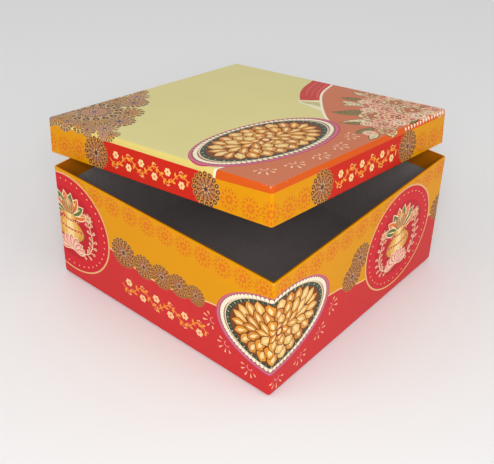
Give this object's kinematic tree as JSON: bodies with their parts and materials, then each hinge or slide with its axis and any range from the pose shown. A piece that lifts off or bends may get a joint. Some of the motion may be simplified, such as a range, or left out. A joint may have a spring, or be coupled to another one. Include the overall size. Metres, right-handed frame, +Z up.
{
  "type": "sweet box",
  "caption": "Square two-piece rigid box of wrapped grey board for sweets: a deep base and a shallow lift-off lid that lies askew and tilted on the rim.",
  "frame": {"origin": "centre of the underside of the base, on the surface that the box stands on", "axes": "+Z up; -Y out of the front-left side; +X out of the front-right side; the lid's raised corner points to +X -Y"},
  "size_m": [0.254, 0.254, 0.1638],
  "materials": {
    "grey_board": "dark grey unlined board, matt",
    "corner_tape": "brown gummed paper tape, matt",
    "base_print": "glossy laminated paper, printed amber over red with traditional ornament",
    "lid_print": "glossy laminated paper, printed cream, orange and purple with traditional ornament",
    "plain_sheet": "uncoated off-white lining paper, matt"
  },
  "bodies": {
    "base": {"base_floor_board": "grey_board", "base_wall_front_left": "grey_board", "base_wall_front_right": "grey_board", "base_wall_back_right": "grey_board", "base_wall_back_left": "grey_board", "base_stay_left": "corner_tape", "base_stay_front": "corner_tape", "base_stay_right": "corner_tape", "base_stay_back": "corner_tape", "base_side_wrap": "base_print", "base_bottom_sheet": "plain_sheet"},
    "lid": {"lid_top_board": "grey_board", "lid_skirt_front_left": "grey_board", "lid_skirt_front_right": "grey_board", "lid_skirt_back_right": "grey_board", "lid_skirt_back_left": "grey_board", "lid_stay_left": "corner_tape", "lid_stay_front": "corner_tape", "lid_stay_right": "corner_tape", "lid_stay_back": "corner_tape", "lid_wrap": "lid_print"}
  },
  "joints": [
    {"name": "lid_lift", "type": "slide", "parent": "base", "child": "lid", "axis": [0, 0, 1], "range_m": [0, 0.14]}
  ]
}
